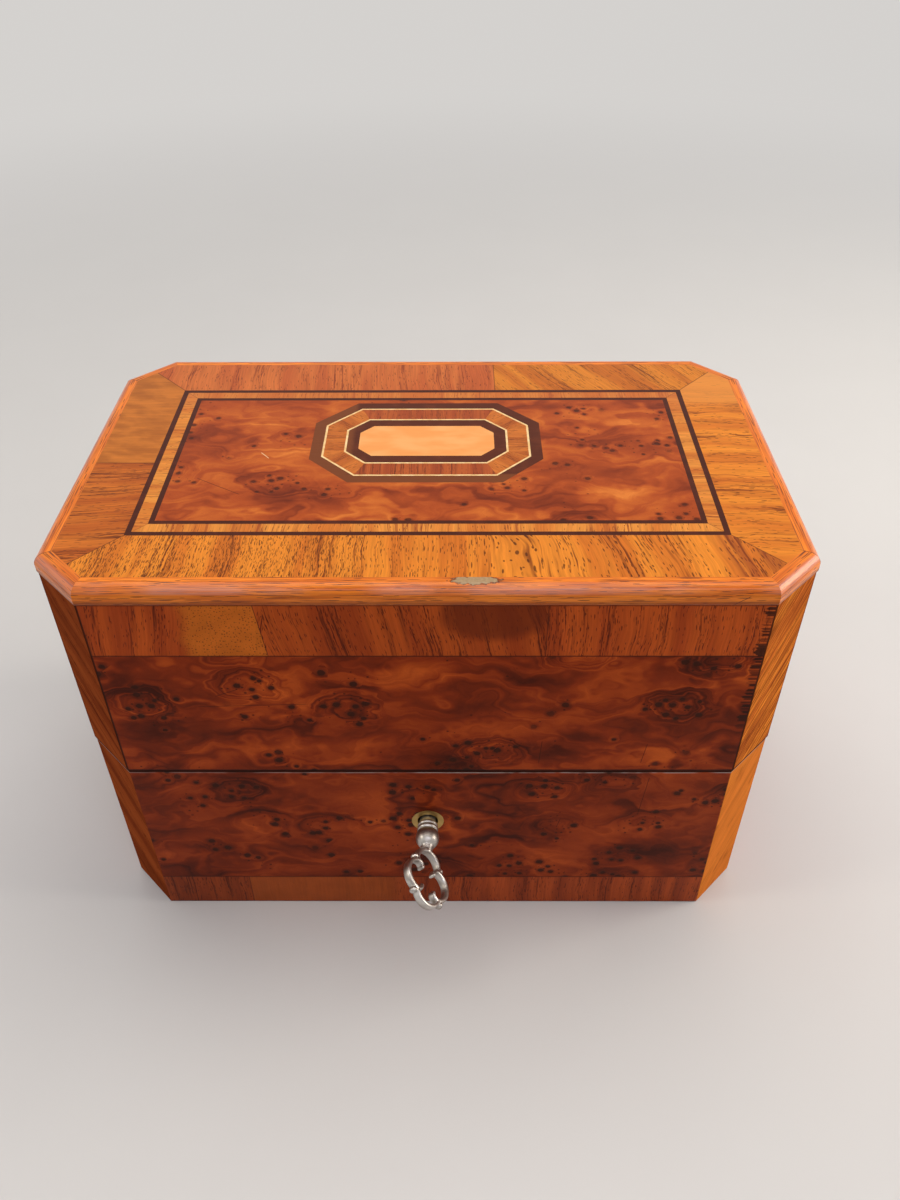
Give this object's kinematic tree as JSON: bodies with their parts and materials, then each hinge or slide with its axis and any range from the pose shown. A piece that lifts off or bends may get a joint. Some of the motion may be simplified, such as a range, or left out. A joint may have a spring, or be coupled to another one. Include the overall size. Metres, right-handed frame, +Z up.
{
  "type": "jewelry box",
  "caption": "Inlaid wooden box with canted corners, a hinged lid, a lock with its key, and a lined tray that lifts out.",
  "frame": {"origin": "centre of the underside of the base", "axes": "+X to the right seen from the front, +Y to the back, +Z up; the key and its lock are on the -Y side"},
  "size_m": [0.2006, 0.1508, 0.1345],
  "materials": {
    "rosewood": "French polished, grain across each band",
    "burr": "French polished burr with dark eyes",
    "dark_wood": "French polished, near black",
    "boxwood": "French polished, pale",
    "plate_wood": "French polished, smooth and pale",
    "carcass_wood": "planed, unpolished",
    "brass": "old polish",
    "steel": "filed and worn bright",
    "velvet": "short pile",
    "silk": "satin weave",
    "baize": "felted wool"
  },
  "bodies": {
    "base": {"base_front_board": "carcass_wood", "base_back_board": "carcass_wood", "base_side_boards": "carcass_wood", "base_corner_posts": "carcass_wood", "base_bottom_board": "carcass_wood", "base_underlay": "baize", "base_front_burr": "burr", "base_back_burr": "burr", "base_side_burrs": "burr", "base_front_band": "rosewood", "base_other_bands": "rosewood", "base_corner_veneers": "rosewood", "escutcheon": "brass", "lock_plate": "brass", "lock_case": "brass", "lock_drill_pin": "steel", "lock_spring": "steel", "base_hinge_leaves": "brass", "hinge_pins": "brass", "base_screws": "brass", "base_lining": "velvet", "base_upper_lining": "velvet", "base_floor_pad": "velvet"},
    "key": {"key": "steel"},
    "bolt": {"lock_bolt": "steel"},
    "tray": {"tray_frame": "rosewood", "tray_floor": "carcass_wood", "tray_dividers": "rosewood", "tray_pads": "velvet", "tray_ring_rolls": "velvet", "tray_ribbons": "silk"},
    "lid": {"lid_front_board": "carcass_wood", "lid_back_board": "carcass_wood", "lid_side_boards": "carcass_wood", "lid_corner_posts": "carcass_wood", "lid_top_board": "carcass_wood", "lid_front_burr": "burr", "lid_back_burr": "burr", "lid_side_burrs": "burr", "lid_front_band": "rosewood", "lid_other_bands": "rosewood", "lid_corner_veneers": "rosewood", "lid_moulding_runs": "rosewood", "lid_moulding_cants": "rosewood", "top_front_crossband": "rosewood", "top_back_crossband": "rosewood", "top_side_crossbands": "rosewood", "top_strings": "dark_wood", "top_light_band": "rosewood", "top_burr_panel": "burr", "cartouche_borders": "dark_wood", "cartouche_lines": "boxwood", "cartouche_band": "rosewood", "cartouche_plate": "plate_wood", "lid_lining": "silk", "lid_cushion": "silk", "link_plate": "brass", "lid_hinge_leaves": "brass", "lid_screws": "brass"}
  },
  "joints": [
    {"name": "lid_hinge", "type": "hinge", "parent": "base", "child": "lid", "pos_m": [0, 0.0573, 0.0662], "axis": [-1, 0, 0], "range_deg": [0, 100]},
    {"name": "key_turn", "type": "hinge", "parent": "base", "child": "key", "pos_m": [-0.001, -0.06015, 0.043], "axis": [0, 1, 0], "range_deg": [0, 60]},
    {"name": "bolt_slide", "type": "slide", "parent": "base", "child": "bolt", "axis": [1, 0, 0], "range_m": [0, 0.0053]},
    {"name": "tray_lift", "type": "slide", "parent": "base", "child": "tray", "axis": [0, 0, 1], "range_m": [0, 0.045]}
  ],
  "couplings": [
    {"joint": "bolt_slide", "follows": "key_turn", "m_per_rad": 0.00506}
  ]
}
